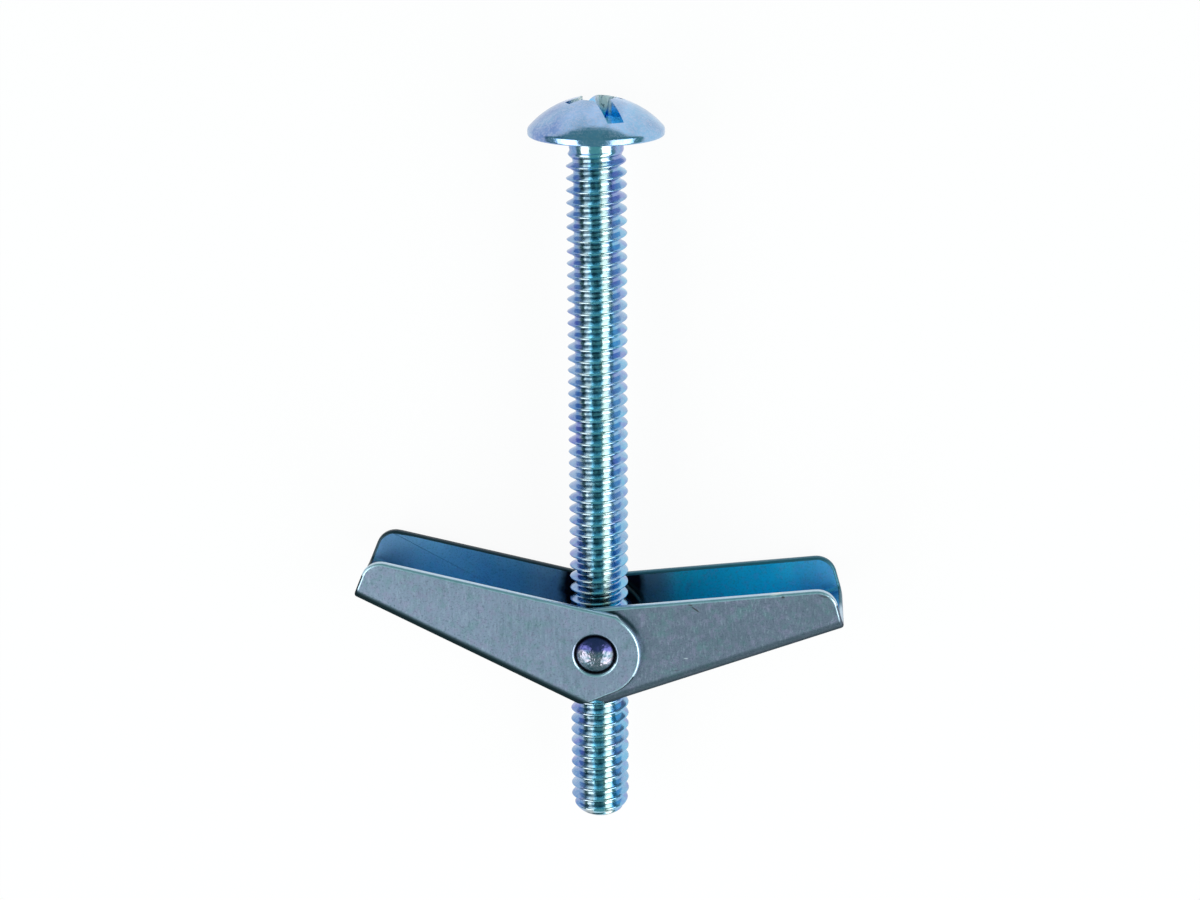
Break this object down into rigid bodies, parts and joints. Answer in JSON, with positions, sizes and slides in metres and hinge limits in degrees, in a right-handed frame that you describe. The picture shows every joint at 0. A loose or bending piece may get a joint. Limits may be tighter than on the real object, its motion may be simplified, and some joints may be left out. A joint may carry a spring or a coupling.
{
  "type": "spring toggle bolt",
  "caption": "Spring toggle bolt for hollow walls: a long round-head machine screw with a trunnion nut that carries sprung folding channel wings.",
  "frame": {"origin": "centre of the head's bearing face, on the screw's axis", "axes": "+Y along the screw towards the top of the head, +Z along the wings' pivot and upwards as the bolt lies on its side, +X towards the right-hand wing"},
  "size_m": [0.052, 0.0791, 0.014],
  "materials": {
    "screw_zinc": "bright blue zinc plating on steel",
    "wing_zinc": "blue zinc plating on pressed sheet steel",
    "nut_zinc": "blue zinc plating on steel",
    "spring_wire": "plain bright spring wire"
  },
  "bodies": {
    "screw": {"machine_screw": "screw_zinc"},
    "nut": {"trunnion_nut": "nut_zinc", "spring": "spring_wire"},
    "wing_left": {"left_wing": "wing_zinc"},
    "wing_right": {"right_wing": "wing_zinc"}
  },
  "joints": [
    {"name": "nut_travel", "type": "slide", "parent": "screw", "child": "nut", "axis": [0, 1, 0], "range_m": [-0.0144, 0.025]},
    {"name": "wing_left_pivot", "type": "hinge", "parent": "nut", "child": "wing_left", "pos_m": [0, -0.0544, 0], "axis": [0, 0, -1], "range_deg": [0, 67], "stiffness_Nm_per_rad": 0.005, "springref_deg": -17.19, "deforming": ["spring"]},
    {"name": "wing_right_pivot", "type": "hinge", "parent": "nut", "child": "wing_right", "pos_m": [0, -0.0544, 0], "axis": [0, 0, 1], "range_deg": [0, 73], "stiffness_Nm_per_rad": 0.005, "springref_deg": -17.19, "deforming": ["spring"]}
  ]
}
